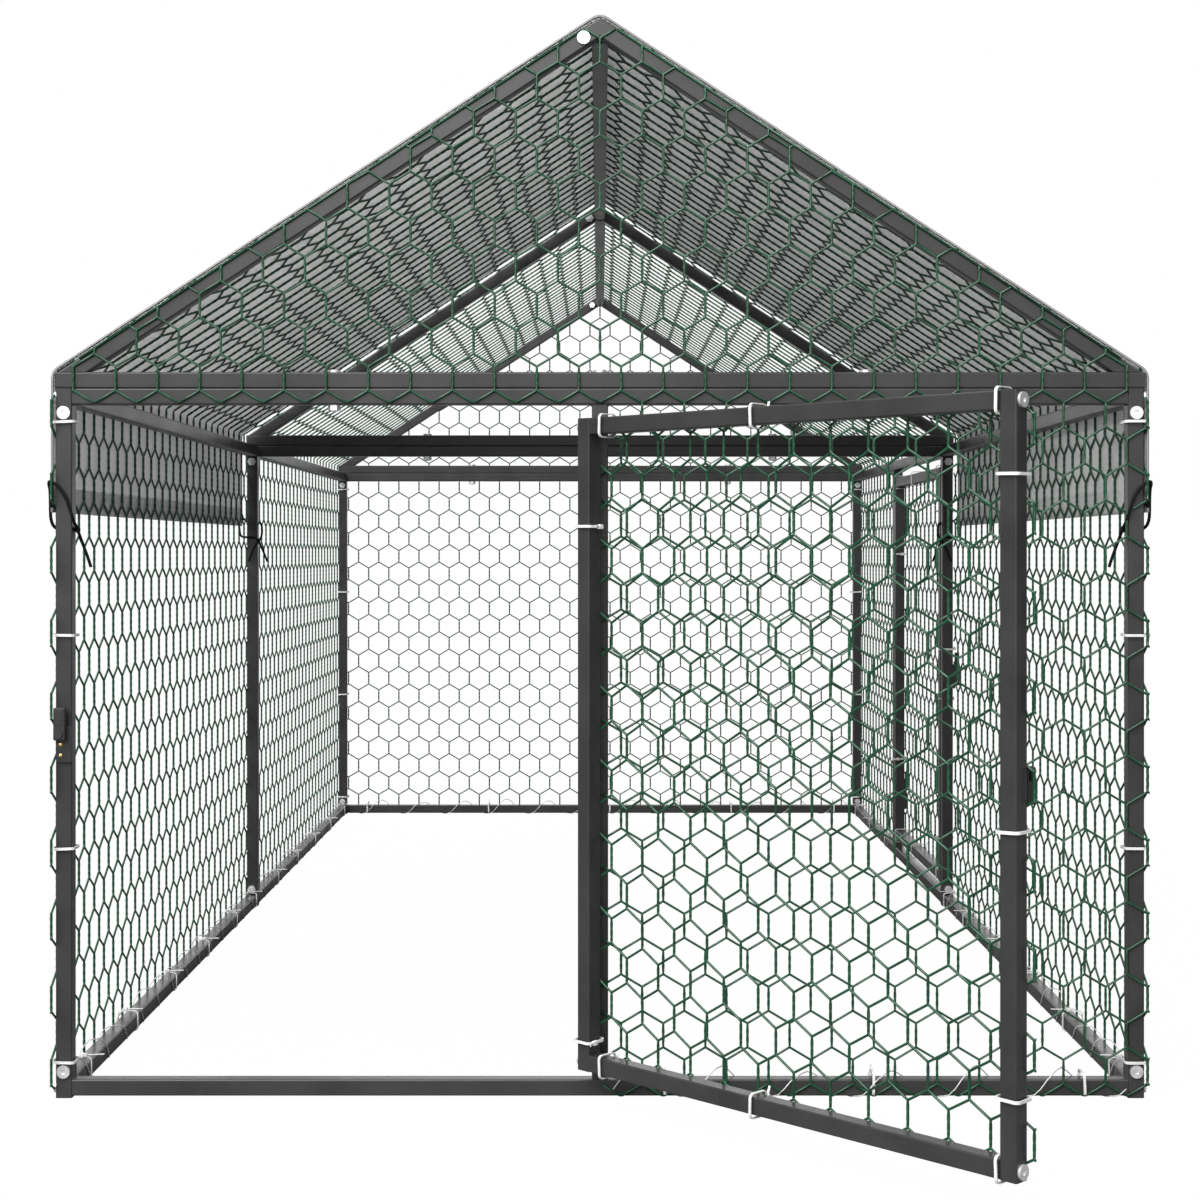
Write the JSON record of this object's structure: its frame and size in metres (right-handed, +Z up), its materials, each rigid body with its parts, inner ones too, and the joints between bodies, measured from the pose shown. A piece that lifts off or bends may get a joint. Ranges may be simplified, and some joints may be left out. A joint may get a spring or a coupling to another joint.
{
  "type": "chicken run",
  "caption": "Free-standing tube-framed poultry run with a pitched roof, hexagonal wire netting, a cover over its front bay, and hinged doors with turn latches.",
  "frame": {"origin": "middle of the box that holds the run with its front door standing open, on the ground", "axes": "+X to the run's right seen from the front, +Y from front to rear, +Z up"},
  "size_m": [1.0225, 2.3502, 0.9973],
  "materials": {
    "frame": "powder coat, fine texture",
    "netting": "smooth coated wire",
    "cover": "coated woven sheet",
    "cord": "braided cord",
    "zinc": "bright zinc",
    "hinge": "satin black",
    "latch": "moulded black",
    "brass": "bright"
  },
  "bodies": {
    "run_frame": {"front_left_post": "frame", "front_right_post": "frame", "mid_left_post": "frame", "mid_right_post": "frame", "rear_left_post": "frame", "rear_right_post": "frame", "front_door_post": "frame", "side_door_post": "frame", "front_wall_beam": "frame", "mid_wall_beam": "frame", "rear_wall_beam": "frame", "front_truss_tie": "frame", "mid_truss_tie": "frame", "rear_truss_tie": "frame", "front_rafters": "frame", "mid_rafters": "frame", "rear_rafters": "frame", "ridge_tubes": "frame", "front_bottom_rail": "frame", "rear_bottom_rail": "frame", "left_top_rails": "frame", "right_top_rails": "frame", "left_bottom_rails": "frame", "right_bottom_rails": "frame", "left_front_net": "netting", "left_rear_net": "netting", "right_front_net": "netting", "right_rear_net": "netting", "left_roof_net": "netting", "right_roof_net": "netting", "gable_net": "netting", "front_net": "netting", "rear_net": "netting", "cover": "cover", "front_hinge_post_leaves": "hinge", "side_hinge_post_leaves": "hinge", "front_latch_plate": "latch", "side_latch_plate": "latch", "latch_rivets": "brass", "frame_bolts": "zinc", "frame_nuts": "zinc", "front_left_cord": "cord", "front_right_cord": "cord", "mid_left_cord": "cord", "mid_right_cord": "cord"},
    "front_door": {"front_door_stiles": "frame", "front_door_rails": "frame", "front_door_net": "netting", "front_hinge_door_leaves": "hinge", "front_keeper": "latch", "front_door_bolts": "zinc"},
    "side_door": {"side_door_stiles": "frame", "side_door_rails": "frame", "side_door_net": "netting", "side_hinge_door_leaves": "hinge", "side_keeper": "latch", "side_door_bolts": "zinc"},
    "front_lever": {"front_latch_lever": "latch"},
    "side_lever": {"side_latch_lever": "latch"}
  },
  "joints": [
    {"name": "front_door_hinge", "type": "hinge", "parent": "run_frame", "child": "front_door", "pos_m": [-0.00925, -0.83008, 0], "axis": [0, 0, 1], "range_deg": [-135, 30]},
    {"name": "side_door_hinge", "type": "hinge", "parent": "run_frame", "child": "side_door", "pos_m": [0.503, 0.63117, 0], "axis": [0, 0, 1], "range_deg": [0, 165]},
    {"name": "front_latch_turn", "type": "hinge", "parent": "run_frame", "child": "front_lever", "pos_m": [-0.4945, -0.83308, 0.3347], "axis": [0, 1, 0], "range_deg": [0, 90]},
    {"name": "side_latch_turn", "type": "hinge", "parent": "run_frame", "child": "side_lever", "pos_m": [0.506, 0.17092, 0.3347], "axis": [-1, 0, 0], "range_deg": [0, 90]}
  ]
}
